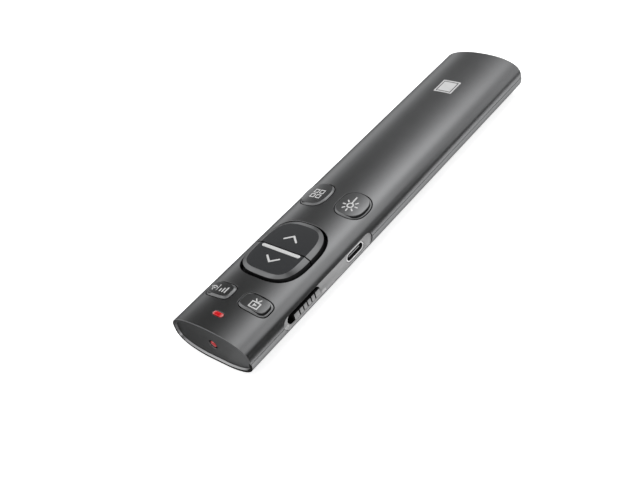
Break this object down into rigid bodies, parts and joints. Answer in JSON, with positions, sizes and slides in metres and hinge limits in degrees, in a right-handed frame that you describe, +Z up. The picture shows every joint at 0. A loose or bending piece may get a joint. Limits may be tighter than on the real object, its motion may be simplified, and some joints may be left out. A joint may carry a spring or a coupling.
{
  "type": "laser pointer",
  "caption": "Handheld laser presentation pointer: satin graphite case, raised page keys with a silver bar, small and round keys, red status light, side power slide and charging port",
  "frame": {"origin": "centre of the bounding box's underside, where the case's flat belly strip rests", "axes": "+Z up through the keys, +Y from the nose to the tail, +X towards the side with the power slide and the charging port"},
  "size_m": [0.033, 0.1586, 0.0155],
  "materials": {
    "case_paint": "satin metallic graphite paint over moulded plastic",
    "key_top": "satin charcoal moulding",
    "side_inlay": "satin grey moulding",
    "bright_silver": "satin silver plating",
    "red_lens": "clear red, glossy",
    "lens_clear": "polished, clear",
    "barrel_brass": "turned",
    "plated_steel": "nickel plated",
    "board_green": "solder mask over glass-fibre board",
    "black_moulding": "moulded, semi-matt",
    "silicone_grey": "moulded silicone",
    "pale_moulding": "moulded, pale",
    "battery_foil": "laminated foil pouch",
    "foam_black": "open-cell foam",
    "lead_red": "insulated wire"
  },
  "bodies": {
    "housing": {"top_shell": "case_paint", "bottom_shell": "case_paint", "nose_cap": "case_paint", "side_strip": "side_inlay", "laser_window": "red_lens", "status_light": "red_lens", "laser_lens": "lens_clear", "laser_barrel": "barrel_brass", "laser_diode": "plated_steel", "usb_shell": "plated_steel", "slide_switch": "plated_steel", "radio_can": "plated_steel", "case_screw_1": "plated_steel", "case_screw_2": "plated_steel", "case_screw_3": "plated_steel", "case_screw_4": "plated_steel", "circuit_board": "board_green", "signal_switch": "black_moulding", "screen_switch": "black_moulding", "menu_switch": "black_moulding", "laser_switch": "black_moulding", "page_up_switch": "black_moulding", "page_down_switch": "black_moulding", "controller_chip": "black_moulding", "charger_chip": "black_moulding", "usb_tongue": "black_moulding", "battery_lead_black": "black_moulding", "key_mat": "silicone_grey", "battery_socket": "pale_moulding", "status_led": "pale_moulding", "battery": "battery_foil", "battery_foam": "foam_black", "battery_lead_red": "lead_red"},
    "page_up": {"page_up_key": "key_top"},
    "page_down": {"page_down_key": "key_top", "divider_bar": "bright_silver"},
    "signal": {"signal_key": "case_paint"},
    "screen": {"screen_key": "case_paint"},
    "menu": {"menu_key": "case_paint"},
    "laser": {"laser_key": "case_paint"},
    "power_slide": {"power_slider": "side_inlay", "switch_lever": "black_moulding"}
  },
  "joints": [
    {"name": "page_up_press", "type": "slide", "parent": "housing", "child": "page_up", "axis": [0, 0, -1], "range_m": [0, 0.0005], "stiffness_N_per_m": 2000},
    {"name": "page_down_press", "type": "slide", "parent": "housing", "child": "page_down", "axis": [0, 0, -1], "range_m": [0, 0.0005], "stiffness_N_per_m": 2000},
    {"name": "signal_press", "type": "slide", "parent": "housing", "child": "signal", "axis": [0, 0, -1], "range_m": [0, 0.0005], "stiffness_N_per_m": 2000},
    {"name": "screen_press", "type": "slide", "parent": "housing", "child": "screen", "axis": [0, 0, -1], "range_m": [0, 0.0005], "stiffness_N_per_m": 2000},
    {"name": "menu_press", "type": "slide", "parent": "housing", "child": "menu", "axis": [0, 0, -1], "range_m": [0, 0.0005], "stiffness_N_per_m": 2000},
    {"name": "laser_press", "type": "slide", "parent": "housing", "child": "laser", "axis": [0, 0, -1], "range_m": [0, 0.0005], "stiffness_N_per_m": 2000},
    {"name": "power_slide_travel", "type": "slide", "parent": "housing", "child": "power_slide", "axis": [0, -1, 0], "range_m": [0, 0.0022]}
  ]
}
